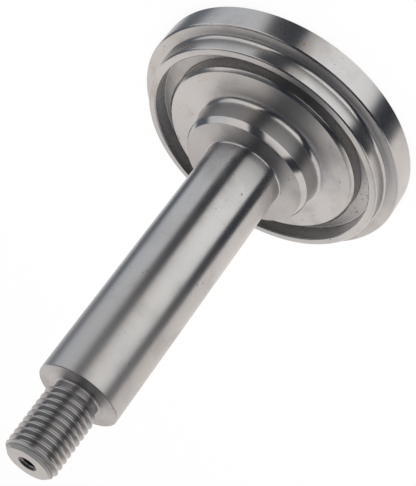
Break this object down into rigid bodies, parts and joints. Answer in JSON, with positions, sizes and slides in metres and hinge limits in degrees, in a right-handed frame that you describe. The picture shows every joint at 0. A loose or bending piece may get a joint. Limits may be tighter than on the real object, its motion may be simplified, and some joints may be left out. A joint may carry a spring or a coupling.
{
  "type": "flanged spindle",
  "caption": "Turned steel spindle: grooved round flange with a stepped hub, a long plain shaft and a threaded stud that ends in a blind tapped hole.",
  "frame": {"origin": "centre of the flange's flat back face", "axes": "+Z along the turning axis, from the flange to the threaded end"},
  "size_m": [0.088, 0.088, 0.1362],
  "materials": {
    "turned_steel": "fine turned, satin"
  },
  "bodies": {
    "root": {"flanged_spindle": "turned_steel"}
  },
  "joints": []
}
